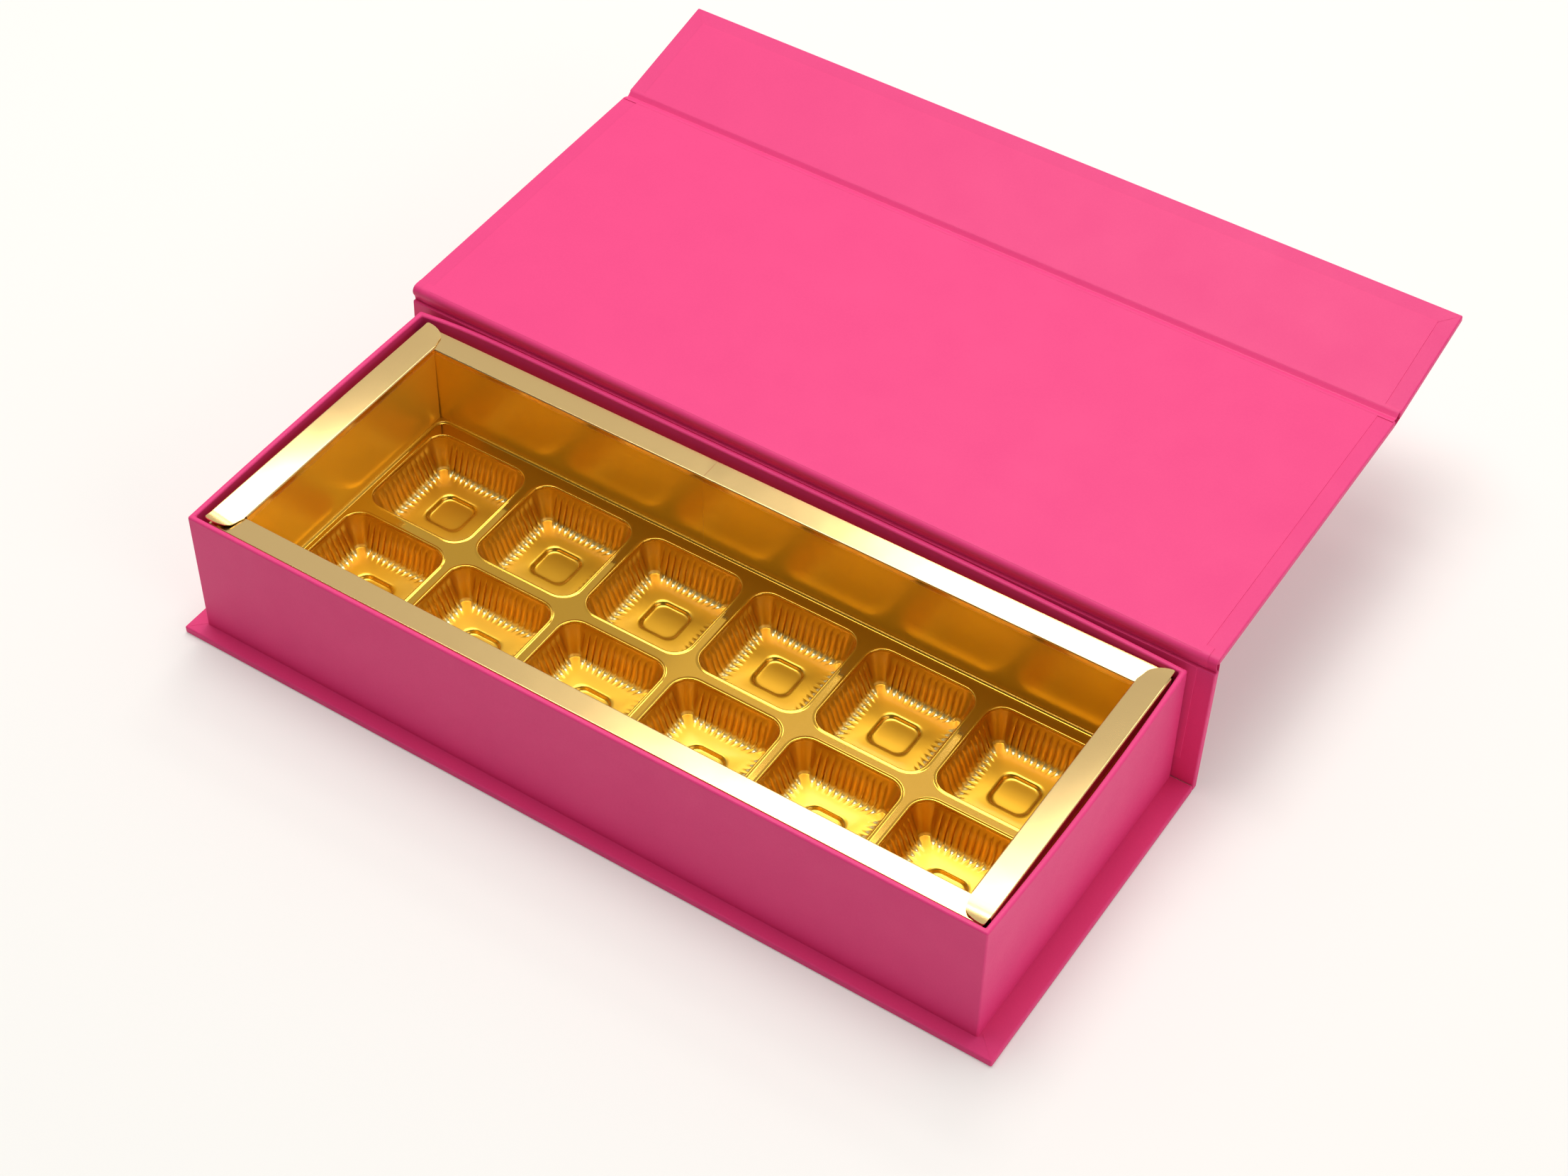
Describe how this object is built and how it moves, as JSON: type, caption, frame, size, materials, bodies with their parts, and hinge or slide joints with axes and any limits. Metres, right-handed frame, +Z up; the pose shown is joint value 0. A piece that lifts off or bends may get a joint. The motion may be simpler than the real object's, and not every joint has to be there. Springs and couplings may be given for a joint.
{
  "type": "chocolate box",
  "caption": "Book-style chocolate box: paper-wrapped case with a hinged lid and magnetic flap, and a tray with a gold card frame round a fluted gold insert.",
  "frame": {"origin": "centre of the tray's footprint on the underside of the base", "axes": "+X along the box, +Y to the spine at the back, +Z up; the lid is open and laid back level behind the box"},
  "size_m": [0.253, 0.2479, 0.0587],
  "materials": {
    "grey_board": "matte",
    "pink_paper": "satin",
    "pink_lining": "satin",
    "gummed_paper": "matte",
    "gold_card": "metallic satin",
    "gold_sheet": "metallic gloss",
    "magnet": "satin"
  },
  "bodies": {
    "base": {"base_board": "grey_board", "base_wrap": "pink_paper", "spine_board": "grey_board", "spine_wrap": "pink_paper", "spine_liner": "pink_lining", "lid_fold": "pink_paper", "tray_floor_board": "grey_board", "tray_front_board": "grey_board", "tray_back_board": "grey_board", "tray_left_board": "grey_board", "tray_right_board": "grey_board", "tray_corner_stays": "gummed_paper", "tray_wrap": "pink_paper", "tray_magnets": "magnet", "frame_front_rail": "gold_card", "frame_back_rail": "gold_card", "frame_left_rail": "gold_card", "frame_right_rail": "gold_card", "cavity_insert": "gold_sheet"},
    "lid": {"lid_board": "grey_board", "lid_wrap": "pink_paper", "lid_liner": "pink_lining"},
    "flap": {"flap_fold": "pink_paper", "flap_board": "grey_board", "flap_wrap": "pink_paper", "flap_liner": "pink_lining", "flap_magnets": "magnet"}
  },
  "joints": [
    {"name": "lid_hinge", "type": "hinge", "parent": "base", "child": "lid", "pos_m": [0, 0.0513, 0.0459], "axis": [1, 0, 0], "range_deg": [-19, 179]},
    {"name": "flap_hinge", "type": "hinge", "parent": "lid", "child": "flap", "pos_m": [0, 0.15428, 0.0477], "axis": [1, 0, 0], "range_deg": [-11.5, 78.5]}
  ]
}
